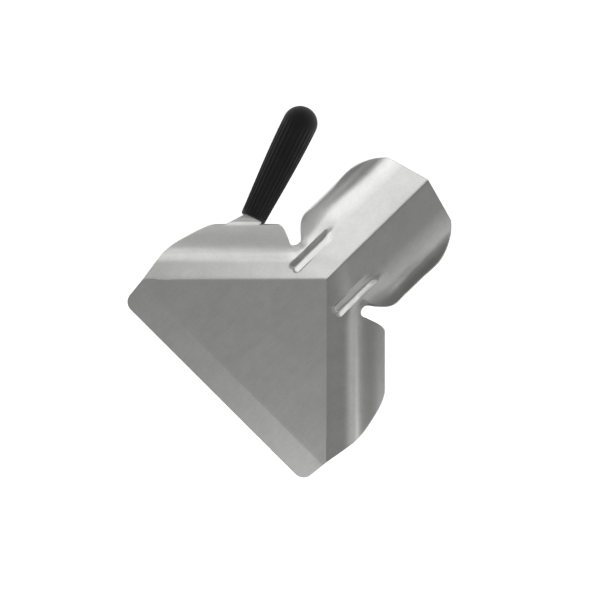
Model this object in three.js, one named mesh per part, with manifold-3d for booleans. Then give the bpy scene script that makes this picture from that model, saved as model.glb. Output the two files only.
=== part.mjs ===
// Chip scoop: one folded stainless sheet (scoop, throat and chute in one piece, with an integral
// tang) and a moulded grip held on the tang by one screw.
// Frame: millimetres. Z = 0 is the underside of the flat floor panel, X = 0 the plane of symmetry.
// +Y runs down the chute, -Y is the leading edge, +Z is the open side. The grip is on the -X side.
// The model is drawn from the apex, where the floor's two side folds meet the chute's spine, and is
// then moved so that the origin lies on the floor panel, APEX_Y in front of the apex.
import * as THREE from 'three';
import Module from 'manifold-3d';
import { mergeVertices } from 'three/addons/utils/BufferGeometryUtils.js';

const wasm = await Module();
wasm.setup();

// ---- driving dimensions -------------------------------------------------------------------
const DEG = Math.PI / 180;
const SHEET = 1.0; // sheet thickness
const APEX_Y = 60; // the apex lies this far behind the origin

// floor and lip
const LEAD_Y = -125.3; // leading edge
const LIP_FOLD_Y = -105.4; // fold between the floor and the lip
const LIP_DROP = 12 * DEG; // the lip turns down by this much
const LEAD_HALF = 91.0; // half length of the straight leading edge
const LEAD_RADIUS = 8.8; // radius of the two front corners
const FOLD_END = 101.4; // the side folds reach the outline at (FOLD_END, -FOLD_END)

// side walls: tilt from the floor as a function of the plan distance from the side fold
const WALL_TILT = 24.5 * DEG; // flat strip next to the fold
const WALL_STEEP = 64.5 * DEG; // steepest
const WALL_RIM = 60 * DEG; // at the rim
const WALL_FLAT_TO = 11.5;
const WALL_STEEP_AT = 32;
const WALL_RIM_FROM = 41;
const RIM_SUM = 61.2; // the rim is the line |X| + Y = RIM_SUM

// front edge of a side wall in plan, from the end of the side fold to the rim
const FRONT_EDGE = [[103.6, -87], [105, -74], [104.5, -66.5], [101.4, -53], [97.4, -40.5], [94.6, -34.4]];
const RIM_FRONT = 30.2; // the rim starts at Y = -RIM_FRONT
const RIM_REAR = 2.2; // and ends at Y = RIM_REAR

// throat: rear corner of the wall and the notch between wall and chute, with the height on the
// centre plane or on the side fold that each edge point's grid line starts from
const THROAT_EDGE = [
  [57.2, 3.5, -26.6], [54.8, 3.8, -25.2], [51.6, 3.3, -23.9], [48.4, 2.3, -22.5], [42.6, 0.1, -20.0],
  [39.6, -1.1, -17.0], [37.6, -0.6, -13.6], [36.2, 1.0, -10.0], [35.6, 2.8, -6.6], [35.5, 4.2, -3.2],
];

// chute: section across the spine, as tilt and curvature along the sheet
const SPINE_SLOPE = Math.tan(20 * DEG);
const CHUTE_TILT = 20 * DEG; // flat facets beside the spine
const CHUTE_FLAT = 21.5; // plan width of a flat facet
const CHUTE_BEND_END = 34; // plan position where the gentle bend ends
const CHUTE_BEND_TILT = 31 * DEG;
const CHUTE_HALF = 49.5; // half width where the wall stands vertical
const CURL_RADIUS = 60; // the top of the wall leans slightly inward
const CURL_TILT = 100 * DEG;
const TIP_Y = 109.6; // end of the spine
const MOUTH_CORNER = [34.4, 99.7]; // plan position of the corner between mouth edge and cut-back

// the scoop's surface blends into the chute's between two values of Y: inside the crimps they move
// forward with the distance from the centre plane, and beyond BLEND_HALF they move back
const BLEND_INSIDE = [0, 22];
const BLEND_FORWARD = 0.55;
const BLEND_OUTSIDE = [-3.5, 10.5];
const BLEND_CHANGE = [18, 34]; // the first rule gives way to the second between these distances
const BLEND_HALF = 36;
const BLEND_BACK = 0.43;

// chute side edge: [share of the full section length, Y, start of the grid line on the spine]
const CHUTE_EDGE = [
  [0.4965, 7.0, 3.0], [0.5675, 10.6, 8.0], [0.667, 15.2, 14.0], [0.766, 19.4, 20.0], [0.8735, 24.4, 26.0],
  [0.944, 29.4, 32.0], [1, 35, 38], [1, 41, 44], [1, 47.5, 51], [1, 54, 58], [0.935, 61.5, 66],
  [0.865, 69.5, 74], [0.756, 77.5, 83], [0.657, 85.5, 92], [0.558, 93.6, 101],
];

// pressed crimps that gather the sheet between wall and chute: a ridge along Y with a flat inner
// and a flat outer side, beyond which the sheet sinks to a shelf
const CRIMP_X = 24.3;
const CRIMP_HALF = 4.6; // plan width of each side
const CRIMP_Y = [-14.6, 28.5];
const CRIMP_FOOT = 1.8; // length of the blunt front end
const CRIMP_FADE = [12, 3.5]; // length of the faded rear end of the inner and outer side
const CRIMP_EVEN = [-12, 8]; // the next three change between these values of Y
const CRIMP_RISER = [1.6, 0.3]; // step up to the inner side
const CRIMP_INNER_SLOPE = [0.3, 0.26]; // against the sheet beside the crimp
const CRIMP_OUTER_SLOPE = [0.76, 0.9];
const SHELF_END = 22; // distance from the ridge at which the shelf has come back up
const SHELF_Y = [-18, -2, 14, 38]; // the shelf deepens and comes back up between these values of Y

// grip and tang
const GRIP_ROOT = new THREE.Vector2(-75.4, -8.0); // plan position of the centre of the root end
const GRIP_TURN = 18.3 * DEG; // the grip points this far outward from +Y
const GRIP_DROOP = 9 * DEG; // and slopes down by this much
const GRIP_LENGTH = 97;
const GRIP_ROOT_RADIUS = 10;
const GRIP_END_RADIUS = 13.6;
const GRIP_FLAT = 0.9; // height of the section over its width
const ROOT_FILLET = 1.5;
const FLUTES = 24;
const FLUTE_DEPTH = 0.55;
const FLUTE_START = [0.6, 4.5]; // flutes reach their full depth between these distances from the root
const FLUTE_END = 82; // and stop here
const FLUTE_SCOOP = 9; // length of the scooped end of a flute
const SOCKET_DEPTH = 10; // oval mouth of the grip, which hides the bend in the tang
const SOCKET_HALF = [7.9, 4.3];
const SOCKET_CORNER = 3;
const TANG_RISE = 3.2; // the tang's centre plane above the rim, at the grip's root
const TANG_BASE = [25.9, 7.5]; // the tang leaves the rim between these two values of -Y
const TANG_ROOT_HALF = 7.4;
const TANG_IN = 8; // the tang is straight from this depth inside the grip
const TANG_TONGUE = [[30, 7.0], [50, 6.4], [58, 5.8]]; // depth inside the grip, half width
const TANG_LENGTH = 58;
const TANG_BULGE = 2.4; // how fast the tang rises where it leaves the rim
const GAP = 0.3; // clearance round the tang and the screw
const SCREW_AT = 34; // distance of the screw from the grip's root
const SCREW_RADIUS = 1.8;
const SCREW_HEAD_RADIUS = 3.4;
const SCREW_HEAD_HEIGHT = 2.2;
const SCREW_SINK = 1.6; // the screw's head sits this deep below the grip's underside
const SCREW_TIP = 6; // height of the screw's tip above the tang's centre plane
const RECESS_RADIUS = 1.3;
const RECESS_DEPTH = 1;

// mesh density
const FLOOR_COLUMNS = 3;
const NEAR_COLUMNS = 4; // inside the crimp
const CRIMP_COLUMNS = 6;
const FAR_COLUMNS = 7;
const CRIMP_REACH = 1.5 * CRIMP_HALF; // the crimp's columns reach this far to both sides of its ridge
const WALL_COLUMNS = NEAR_COLUMNS + CRIMP_COLUMNS + FAR_COLUMNS;
const RIM_STATIONS = 13;
const TANG_ROWS = 6;
const SIDES_PER_FLUTE = 3;
const ROUND_SIDES = 20;
const OVERLAP = 1; // joined and cut bodies run past each other by this much

// ---- the sheet's shape ----------------------------------------------------------------------
const smooth = (a, b, x) => {
  const t = Math.min(1, Math.max(0, (x - a) / (b - a)));
  return t * t * (3 - 2 * t);
};
const mix = (a, b, t) => a + (b - a) * t;

function wallTilt(d) {
  const up = smooth(WALL_FLAT_TO, WALL_STEEP_AT, d);
  const flare = smooth(WALL_STEEP_AT, WALL_RIM_FROM, d);
  return WALL_TILT + (WALL_STEEP - WALL_TILT) * up - (WALL_STEEP - WALL_RIM) * flare;
}

// height of a side wall at plan distance d from its fold: the integral of the tilt
function wallRise(d) {
  if (d <= 0) return 0;
  const steps = 60;
  let sum = 0;
  for (let i = 0; i < steps; i++) sum += Math.tan(wallTilt((d * (i + 0.5)) / steps));
  return (sum * d) / steps;
}

// the chute's half section: a flat facet, a gentle bend, a tighter bend to vertical and the curl
const bend = (x0, x1, a0, a1) => (x1 - x0) / (Math.sin(a1) - Math.sin(a0));
const GENTLE_RADIUS = bend(CHUTE_FLAT, CHUTE_BEND_END, CHUTE_TILT, CHUTE_BEND_TILT);
const TIGHT_RADIUS = bend(CHUTE_BEND_END, CHUTE_HALF, CHUTE_BEND_TILT, Math.PI / 2);
const CHUTE_ARCS = [
  { length: CHUTE_FLAT / Math.cos(CHUTE_TILT), radius: Infinity, tilt: CHUTE_TILT },
  { radius: GENTLE_RADIUS, tilt: CHUTE_TILT, end: CHUTE_BEND_TILT },
  { radius: TIGHT_RADIUS, tilt: CHUTE_BEND_TILT, end: Math.PI / 2 },
  { radius: CURL_RADIUS, tilt: Math.PI / 2, end: CURL_TILT },
];
for (const arc of CHUTE_ARCS) arc.length ??= arc.radius * (arc.end - arc.tilt);
const CHUTE_LENGTH = CHUTE_ARCS.reduce((sum, arc) => sum + arc.length, 0);

function chuteSection(s) {
  let x = 0;
  let z = 0;
  let left = s;
  for (const { length, radius, tilt } of CHUTE_ARCS) {
    const run = Math.min(left, length);
    if (radius === Infinity) {
      x += run * Math.cos(tilt);
      z += run * Math.sin(tilt);
    } else {
      const end = tilt + run / radius;
      x += radius * (Math.sin(end) - Math.sin(tilt));
      z += radius * (Math.cos(tilt) - Math.cos(end));
    }
    left -= run;
    if (left <= 0) break;
  }
  return { x, z };
}

// sheet length from the spine at which the section reaches plan position x
function chuteLengthAt(x) {
  let low = 0;
  let high = CHUTE_LENGTH - CHUTE_ARCS[3].length;
  for (let i = 0; i < 40; i++) {
    const middle = (low + high) / 2;
    if (chuteSection(middle).x < x) low = middle;
    else high = middle;
  }
  return (low + high) / 2;
}

// 0 on the scoop, 1 on the chute, with a soft change across the throat
function chuteShare(x, y) {
  const outside = smooth(...BLEND_CHANGE, x);
  const past = BLEND_BACK * Math.max(0, x - BLEND_HALF);
  const [from, to] = [0, 1].map((i) => mix(BLEND_INSIDE[i] - BLEND_FORWARD * x, BLEND_OUTSIDE[i], outside));
  return smooth(from + past, to + past, y);
}

function crimp(x, y) {
  const u = x - CRIMP_X;
  const back = smooth(...CRIMP_EVEN, y);
  const settings = [CRIMP_RISER, CRIMP_INNER_SLOPE, CRIMP_OUTER_SLOPE];
  const [riser, up, down] = settings.map(([front, rear]) => mix(front, rear, back));
  const foot = riser + (up - down) * CRIMP_HALF;
  const sink = foot * smooth(0, CRIMP_HALF, u);
  let ridge = 0;
  if (u > -CRIMP_HALF && u <= 0) ridge = riser + up * (u + CRIMP_HALF);
  if (u > 0 && u < CRIMP_HALF) ridge = riser + up * CRIMP_HALF - down * u - sink;
  const front = smooth(CRIMP_Y[0], CRIMP_Y[0] + CRIMP_FOOT, y);
  const rear = smooth(0, 1, (CRIMP_Y[1] - y) / mix(...CRIMP_FADE, smooth(-2, 1, u)));
  const shelf = sink * smooth(SHELF_END, CRIMP_HALF, u);
  const deep = smooth(SHELF_Y[0], SHELF_Y[1], y) * smooth(SHELF_Y[3], SHELF_Y[2], y);
  return ridge * front * rear + shelf * deep;
}

// height of the sheet's middle surface; x is positive on both halves
function sheetHeight(x, y, chute) {
  const scoop = wallRise((x + y) / Math.SQRT2) - Math.tan(LIP_DROP) * Math.max(0, LIP_FOLD_Y - y);
  return SHEET / 2 + mix(scoop, chute, chuteShare(x, y)) + crimp(x, y);
}

function scoopPoint(x, y) {
  const chute = x < CHUTE_HALF ? chuteSection(chuteLengthAt(x)).z + SPINE_SLOPE * y : 0;
  return [x, y, sheetHeight(x, y, chute)];
}

function chutePoint(s, y) {
  const section = chuteSection(s);
  return [section.x, y, sheetHeight(section.x, y, section.z + SPINE_SLOPE * y)];
}

// ---- grid lines of one half, each from the centre plane out to the edge -----------------------
// A line has FLOOR_COLUMNS steps over the floor and WALL_COLUMNS steps over the wall.

// shares of a line's length, from fold to edge, with the crimp's columns between first and last
function wallShares(first, last) {
  const shares = [];
  for (let i = 1; i <= NEAR_COLUMNS; i++) shares.push((first * i) / NEAR_COLUMNS);
  for (let i = 1; i <= CRIMP_COLUMNS; i++) shares.push(mix(first, last, i / CRIMP_COLUMNS));
  for (let i = 1; i <= FAR_COLUMNS; i++) shares.push(mix(last, 1, i / FAR_COLUMNS));
  return shares;
}

function scoopLine(edgeX, edgeY, fold) {
  const line = [];
  for (let i = 0; i <= FLOOR_COLUMNS; i++) line.push(scoopPoint((-fold * i) / FLOOR_COLUMNS, fold));
  const width = edgeX + fold;
  const first = Math.max(CRIMP_X - CRIMP_REACH + fold, 0.15 * width);
  const last = first + Math.min(2 * CRIMP_REACH, 0.7 * (width - first));
  for (const t of wallShares(first / width, last / width)) {
    line.push(scoopPoint(mix(-fold, edgeX, t), mix(fold, edgeY, t)));
  }
  return line;
}

// across the lip there is no wall, so the wall's columns share the edge point
function lipLine(edgeX, y) {
  const line = [];
  for (let i = 0; i <= FLOOR_COLUMNS; i++) line.push(scoopPoint((edgeX * i) / FLOOR_COLUMNS, y));
  for (let i = 1; i <= WALL_COLUMNS; i++) line.push(scoopPoint(edgeX, y));
  return line;
}

// along the chute there is no floor, so the floor's columns share the spine point
function chuteLine(edgeLength, edgeY, spineY) {
  const line = [];
  for (let i = 0; i <= FLOOR_COLUMNS; i++) line.push(chutePoint(0, spineY));
  const [first, last] = [-1, 1].map((side) => chuteLengthAt(CRIMP_X + side * CRIMP_REACH) / edgeLength);
  for (const t of wallShares(first, last)) line.push(chutePoint(edgeLength * t, mix(spineY, edgeY, t)));
  return line;
}

const foot = (x, y) => (y - x) / 2; // Y where the square line from (x, y) meets the side fold

function halfSheetLines() {
  const lines = [];
  for (const angle of [0, 22.5, 45, 67.5]) {
    const y = LEAD_Y + LEAD_RADIUS * (1 - Math.cos(angle * DEG));
    lines.push(lipLine(LEAD_HALF + LEAD_RADIUS * Math.sin(angle * DEG), y));
  }
  lines.push(lipLine(LEAD_HALF + LEAD_RADIUS, LEAD_Y + LEAD_RADIUS));
  lines.push(lipLine(FOLD_END - 0.45, LIP_FOLD_Y));
  lines.push(lipLine(FOLD_END, -FOLD_END));
  for (const [x, y] of FRONT_EDGE) lines.push(scoopLine(x, y, foot(x, y)));
  for (let i = 0; i <= RIM_STATIONS; i++) {
    const y = rimY(i);
    lines.push(scoopLine(RIM_SUM - y, y, foot(RIM_SUM - y, y)));
  }
  for (const [x, y, fold] of THROAT_EDGE) lines.push(scoopLine(x, y, fold));
  for (const [share, y, spine] of CHUTE_EDGE) lines.push(chuteLine(share * CHUTE_LENGTH, y, spine));
  lines.push(chuteLine(chuteLengthAt(MOUTH_CORNER[0]), MOUTH_CORNER[1], TIP_Y));
  return lines;
}

// rim stations: two of them are the ends of the tang's base
const TANG_FIRST = 2;
const TANG_LAST = 10;
function rimY(i) {
  if (i < TANG_FIRST) return mix(-RIM_FRONT, -TANG_BASE[0], i / TANG_FIRST);
  if (i <= TANG_LAST) return mix(-TANG_BASE[0], -TANG_BASE[1], (i - TANG_FIRST) / (TANG_LAST - TANG_FIRST));
  return mix(-TANG_BASE[1], RIM_REAR, (i - TANG_LAST) / (RIM_STATIONS - TANG_LAST));
}

// ---- the tang: leaves the left rim, bends over and runs straight inside the grip -----------
const RIM_RISE = wallRise(RIM_SUM / Math.SQRT2) + SHEET / 2;
const gripAxis = new THREE.Vector3(
  -Math.sin(GRIP_TURN) * Math.cos(GRIP_DROOP),
  Math.cos(GRIP_TURN) * Math.cos(GRIP_DROOP),
  -Math.sin(GRIP_DROOP),
);
const gripSide = new THREE.Vector3(-Math.cos(GRIP_TURN), -Math.sin(GRIP_TURN), 0); // towards -X
const gripUp = new THREE.Vector3().crossVectors(gripAxis, gripSide);
const gripRoot = new THREE.Vector3(GRIP_ROOT.x, GRIP_ROOT.y, RIM_RISE + TANG_RISE);
// the grip's own frame: X towards -X of the scoop, Y up, Z along the grip
const gripFrame = new THREE.Matrix4().makeBasis(gripSide, gripUp, gripAxis).setPosition(gripRoot);

function tangRows() {
  const toGrip = gripFrame.clone().invert();
  const columns = TANG_LAST - TANG_FIRST;
  const rows = Array.from({ length: TANG_ROWS + 1 }, () => []);
  for (let c = 0; c <= columns; c++) {
    const y = rimY(TANG_FIRST + c);
    const start = new THREE.Vector3(-(RIM_SUM - y), y, RIM_RISE).applyMatrix4(toGrip);
    const half = mix(TANG_ROOT_HALF, -TANG_ROOT_HALF, c / columns);
    const run = TANG_IN - start.z;
    for (let r = 0; r <= TANG_ROWS; r++) {
      const t = r / TANG_ROWS;
      const z = start.z + run * t;
      const side = mix(start.x, half, Math.min(1, (z - start.z) / -start.z));
      const rise = start.y * (2 * t ** 3 - 3 * t ** 2 + 1 - TANG_BULGE * (t ** 3 - 2 * t ** 2 + t));
      rows[r].push(new THREE.Vector3(side, rise, z).applyMatrix4(gripFrame).toArray());
    }
  }
  for (const [depth, half] of TANG_TONGUE) {
    const row = [];
    for (let c = 0; c <= columns; c++) {
      const point = new THREE.Vector3(mix(half, -half, c / columns), 0, depth);
      row.push(point.applyMatrix4(gripFrame).toArray());
    }
    rows.push(row);
  }
  return rows;
}

// ---- sheet builder: a middle surface of triangles, thickened and closed at its edges ---------
class Surface {
  constructor() {
    this.points = [];
    this.triangles = [];
    this.index = new Map();
  }

  vertex(point) {
    const key = point.map((v) => Math.round(v * 5000)).join();
    if (!this.index.has(key)) {
      this.index.set(key, this.points.length);
      this.points.push(new THREE.Vector3(...point));
    }
    return this.index.get(key);
  }

  triangle(a, b, c) {
    if (a !== b && b !== c && c !== a) this.triangles.push([a, b, c]);
  }

  grid(lines, flipped) {
    for (let r = 0; r + 1 < lines.length; r++) {
      for (let c = 0; c + 1 < lines[r].length; c++) {
        const corners = [lines[r][c], lines[r][c + 1], lines[r + 1][c + 1], lines[r + 1][c]];
        const [p, q, s, t] = corners.map((corner) => this.vertex(corner));
        if (flipped) {
          this.triangle(p, s, q);
          this.triangle(p, t, s);
        } else {
          this.triangle(p, q, s);
          this.triangle(p, s, t);
        }
      }
    }
  }

  thicken(thickness) {
    const normals = this.points.map(() => new THREE.Vector3());
    const edges = new Map();
    for (const [a, b, c] of this.triangles) {
      const ab = new THREE.Vector3().subVectors(this.points[b], this.points[a]);
      const ac = new THREE.Vector3().subVectors(this.points[c], this.points[a]);
      const normal = ab.cross(ac);
      for (const v of [a, b, c]) normals[v].add(normal);
      for (const [i, j] of [[a, b], [b, c], [c, a]]) edges.set(`${i},${j}`, [i, j]);
    }
    const count = this.points.length;
    const position = [];
    for (const side of [1, -1]) {
      this.points.forEach((point, i) => {
        const offset = normals[i].clone().normalize().multiplyScalar((side * thickness) / 2);
        position.push(...offset.add(point).toArray());
      });
    }
    const index = [];
    for (const [a, b, c] of this.triangles) {
      index.push(a, b, c);
      index.push(count + a, count + c, count + b);
    }
    for (const [i, j] of edges.values()) {
      if (edges.has(`${j},${i}`)) continue;
      index.push(j, i, count + i);
      index.push(j, count + i, count + j);
    }
    const geometry = new THREE.BufferGeometry();
    geometry.setAttribute('position', new THREE.Float32BufferAttribute(position, 3));
    geometry.setIndex(index);
    return geometry;
  }
}

// ---- joining and cutting --------------------------------------------------------------------
function toSolid(geometry) {
  const bare = geometry.clone();
  bare.deleteAttribute('normal');
  bare.deleteAttribute('uv');
  const merged = mergeVertices(bare, 1e-4);
  const vertProperties = new Float32Array(merged.attributes.position.array);
  const triVerts = new Uint32Array(merged.index.array);
  return new wasm.Manifold(new wasm.Mesh({ numProp: 3, vertProperties, triVerts }));
}

function toGeometry(solid) {
  const mesh = solid.getMesh();
  const geometry = new THREE.BufferGeometry();
  geometry.setAttribute('position', new THREE.BufferAttribute(mesh.vertProperties, 3));
  geometry.setIndex(new THREE.BufferAttribute(mesh.triVerts, 1));
  geometry.computeVertexNormals();
  return geometry;
}

// a bar along the grip's Y axis, for the screw and the holes it passes through
function upright(radius, low, high, sides = ROUND_SIDES) {
  const bar = new THREE.CylinderGeometry(radius, radius, high - low, sides);
  return bar.translate(0, (low + high) / 2, SCREW_AT);
}

const END_CENTRE = GRIP_LENGTH - GRIP_END_RADIUS; // the grip's round end starts here

// half width of the grip at distance z from its root
function gripRadius(z) {
  if (z > END_CENTRE) return Math.sqrt(Math.max(0, GRIP_END_RADIUS ** 2 - (z - END_CENTRE) ** 2));
  const swell = Math.sin((Math.PI / 2) * (z / END_CENTRE)) ** 1.2;
  const radius = mix(GRIP_ROOT_RADIUS, GRIP_END_RADIUS, swell);
  if (z > ROOT_FILLET) return radius;
  return radius - ROOT_FILLET + Math.sqrt(ROOT_FILLET ** 2 - (ROOT_FILLET - z) ** 2);
}

// depth of the flutes at distance z from the root; turn is the angle round the grip, in flutes
function fluteDepth(z, turn) {
  const across = 2 * (turn % 1) - 1;
  const along = Math.max(0, z - FLUTE_END + FLUTE_SCOOP) / FLUTE_SCOOP;
  return FLUTE_DEPTH * Math.max(0, 1 - across ** 2 - along ** 2) * smooth(...FLUTE_START, z);
}

function gripGeometry() {
  const sides = SIDES_PER_FLUTE * FLUTES;
  const rings = [0, ROOT_FILLET, FLUTE_START[1], 16, 30, 44, 58, 66];
  rings.push(FLUTE_END - FLUTE_SCOOP, FLUTE_END - FLUTE_SCOOP / 2, FLUTE_END);
  for (const angle of [6, 18.3, 30, 42, 54, 66, 78]) {
    rings.push(END_CENTRE + GRIP_END_RADIUS * Math.sin(angle * DEG));
  }
  const position = [0, 0, 0];
  for (const z of rings) {
    for (let i = 0; i < sides; i++) {
      const angle = (i / sides) * 2 * Math.PI;
      const radius = gripRadius(z) - fluteDepth(z, i / SIDES_PER_FLUTE);
      position.push(radius * Math.cos(angle), GRIP_FLAT * radius * Math.sin(angle), z);
    }
  }
  position.push(0, 0, GRIP_LENGTH);
  const last = position.length / 3 - 1;
  const index = [];
  for (let i = 0; i < sides; i++) {
    const next = (i + 1) % sides;
    index.push(0, 1 + next, 1 + i);
    for (let r = 0; r + 1 < rings.length; r++) {
      const low = 1 + r * sides;
      const high = low + sides;
      index.push(low + i, low + next, high + next);
      index.push(low + i, high + next, high + i);
    }
    const top = 1 + (rings.length - 1) * sides;
    index.push(top + i, top + next, last);
  }
  const geometry = new THREE.BufferGeometry();
  geometry.setAttribute('position', new THREE.Float32BufferAttribute(position, 3));
  geometry.setIndex(index);
  return geometry;
}

// ---- pieces ------------------------------------------------------------------------------------
const GRIP_LOW = -GRIP_FLAT * (gripRadius(SCREW_AT) - FLUTE_DEPTH); // underside at the screw
const HEAD_TOP = GRIP_LOW + SCREW_SINK + SCREW_HEAD_HEIGHT;

function scoopSheet() {
  const surface = new Surface();
  const lines = halfSheetLines();
  surface.grid(lines, false);
  surface.grid(lines.map((line) => line.map(([x, y, z]) => [-x, y, z])), true);
  surface.grid(tangRows(), false);
  const hole = upright(SCREW_RADIUS + GAP, -SHEET / 2 - OVERLAP, SHEET / 2 + OVERLAP);
  hole.applyMatrix4(gripFrame);
  return toGeometry(toSolid(surface.thicken(SHEET)).subtract(toSolid(hole)));
}

function grip() {
  const [wide, high] = SOCKET_HALF.map((half) => half - SOCKET_CORNER);
  const mouth = new THREE.Shape();
  mouth.absarc(wide, high, SOCKET_CORNER, 0, Math.PI / 2);
  mouth.absarc(-wide, high, SOCKET_CORNER, Math.PI / 2, Math.PI);
  mouth.absarc(-wide, -high, SOCKET_CORNER, Math.PI, 1.5 * Math.PI);
  mouth.absarc(wide, -high, SOCKET_CORNER, 1.5 * Math.PI, 2 * Math.PI);
  const settings = { depth: SOCKET_DEPTH + OVERLAP, bevelEnabled: false, curveSegments: 6 };
  const socket = new THREE.ExtrudeGeometry(mouth, settings);
  socket.translate(0, 0, -OVERLAP);
  const slotLength = TANG_LENGTH + GAP - SOCKET_DEPTH + OVERLAP;
  const slot = new THREE.BoxGeometry(2 * (TANG_ROOT_HALF + GAP), SHEET + 2 * GAP, slotLength);
  slot.translate(0, 0, SOCKET_DEPTH - OVERLAP + slotLength / 2);
  const below = GRIP_LOW - GRIP_END_RADIUS;
  const shankHole = upright(SCREW_RADIUS + GAP, below, SCREW_TIP + 2 * GAP);
  const headHole = upright(SCREW_HEAD_RADIUS + GAP, below, HEAD_TOP + GAP);
  let solid = toSolid(gripGeometry());
  for (const cut of [socket, slot, shankHole, headHole]) solid = solid.subtract(toSolid(cut));
  return toGeometry(solid);
}

function gripScrew() {
  const bottom = HEAD_TOP - SCREW_HEAD_HEIGHT;
  const head = toSolid(upright(SCREW_HEAD_RADIUS, bottom, HEAD_TOP));
  const shank = toSolid(upright(SCREW_RADIUS, HEAD_TOP - OVERLAP, SCREW_TIP));
  const recess = toSolid(upright(RECESS_RADIUS, bottom - OVERLAP, bottom + RECESS_DEPTH, 6));
  return toGeometry(head.add(shank).subtract(recess));
}

const steel = new THREE.MeshStandardMaterial({ color: 0xb8b8b6, roughness: 0.35, metalness: 1 });
const plastic = new THREE.MeshStandardMaterial({ color: 0x1b1b1c, roughness: 0.55, metalness: 0 });
const zinc = new THREE.MeshStandardMaterial({ color: 0xc9c9c4, roughness: 0.3, metalness: 1 });

function piece(name, geometry, material) {
  const mesh = new THREE.Mesh(geometry, material);
  mesh.name = name;
  return mesh;
}

const handle = new THREE.Group();
handle.applyMatrix4(gripFrame);
handle.add(piece('grip', grip(), plastic));
handle.add(piece('grip_screw', gripScrew(), zinc));

const scoop = new THREE.Group();
scoop.position.y = APEX_Y;
scoop.add(piece('scoop_sheet', scoopSheet(), steel));
scoop.add(handle);

export default scoop;
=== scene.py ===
import math

import bpy
import numpy as np
from mathutils import Matrix, Vector


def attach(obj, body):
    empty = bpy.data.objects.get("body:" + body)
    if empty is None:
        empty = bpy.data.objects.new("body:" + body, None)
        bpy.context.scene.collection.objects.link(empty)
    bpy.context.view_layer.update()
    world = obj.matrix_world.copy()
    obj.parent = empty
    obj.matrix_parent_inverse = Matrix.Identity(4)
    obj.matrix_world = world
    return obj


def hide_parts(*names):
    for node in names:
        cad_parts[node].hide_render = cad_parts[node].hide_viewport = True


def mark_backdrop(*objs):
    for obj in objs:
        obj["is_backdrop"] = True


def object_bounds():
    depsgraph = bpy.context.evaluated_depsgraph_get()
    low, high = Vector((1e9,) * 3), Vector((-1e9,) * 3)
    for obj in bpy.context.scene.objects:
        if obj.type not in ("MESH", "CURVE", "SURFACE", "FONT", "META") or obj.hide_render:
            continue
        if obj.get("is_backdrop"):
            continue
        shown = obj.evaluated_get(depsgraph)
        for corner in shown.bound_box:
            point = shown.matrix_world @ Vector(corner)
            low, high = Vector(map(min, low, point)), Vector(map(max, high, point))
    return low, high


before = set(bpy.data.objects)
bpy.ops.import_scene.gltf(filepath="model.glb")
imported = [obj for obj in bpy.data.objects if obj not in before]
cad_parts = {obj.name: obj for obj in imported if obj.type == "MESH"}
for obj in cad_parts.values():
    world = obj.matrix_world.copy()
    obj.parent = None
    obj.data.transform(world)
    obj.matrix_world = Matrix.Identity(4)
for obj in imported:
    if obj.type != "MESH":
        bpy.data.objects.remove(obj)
cad_low, cad_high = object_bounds()

# ---- dimensions, in millimetres and radians -----------------------------------------------------
MM = 0.001
APEX_Y = 60.0
SHEET = 1.0
EDGE_CHAMFER = 0.16
FOLD_RADIUS = 0.6  # softness of the folds in the sheet
SPINE_RADIUS = 0.6
TANG_BEND_RADIUS = 0.9

LEAD_Y = -125.3
LIP_FOLD_Y = -105.4
LIP_DROP = math.radians(12)
LEAD_HALF = 91.0
LEAD_RADIUS = 8.8
FOLD_END = 101.4

WALL_TILT = math.radians(24.5)
WALL_STEEP = math.radians(64.5)
WALL_RIM = math.radians(60)
WALL_FLAT_TO = 11.5
WALL_STEEP_AT = 32.0
WALL_RIM_FROM = 41.0
RIM_SUM = 61.2
FRONT_EDGE = [[103.6, -87], [105, -74], [104.5, -66.5], [101.4, -53], [97.4, -40.5], [94.6, -34.4]]
RIM_FRONT = 30.2
RIM_REAR = 2.2
THROAT_EDGE = [
    [57.2, 3.5, -26.6], [54.8, 3.8, -25.2], [51.6, 3.3, -23.9], [48.4, 2.3, -22.5], [42.6, 0.1, -20.0],
    [39.6, -1.1, -17.0], [37.6, -0.6, -13.6], [36.2, 1.0, -10.0], [35.6, 2.8, -6.6], [35.5, 4.2, -3.2],
]
THROAT_MEET = [35.5, 5.6]  # the edge point whose grid line starts at the apex

SPINE_SLOPE = math.tan(math.radians(20))
CHUTE_TILT = math.radians(20)
CHUTE_FLAT = 21.5
CHUTE_BEND_END = 34.0
CHUTE_BEND_TILT = math.radians(31)
CHUTE_HALF = 49.5
CURL_RADIUS = 60.0
CURL_TILT = math.radians(100)
TIP_Y = 109.6
MOUTH_CORNER = [34.4, 99.7]
CHUTE_EDGE = [
    [0.4965, 7.0, 3.0], [0.5675, 10.6, 8.0], [0.667, 15.2, 14.0], [0.766, 19.4, 20.0], [0.8735, 24.4, 26.0],
    [0.944, 29.4, 32.0], [1, 35, 38], [1, 41, 44], [1, 47.5, 51], [1, 54, 58], [0.935, 61.5, 66],
    [0.865, 69.5, 74], [0.756, 77.5, 83], [0.657, 85.5, 92], [0.558, 93.6, 101],
]

# the scoop's surface blends into the chute's between two values of Y: inside the crimps they move
# forward with the distance from the centre plane, and beyond BLEND_HALF they move back
BLEND_INSIDE = (0.0, 22.0)
BLEND_FORWARD = 0.55
BLEND_OUTSIDE = (-3.5, 10.5)
BLEND_CHANGE = (18.0, 34.0)  # the first rule gives way to the second between these distances
BLEND_HALF = 36.0
BLEND_BACK = 0.43

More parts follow.
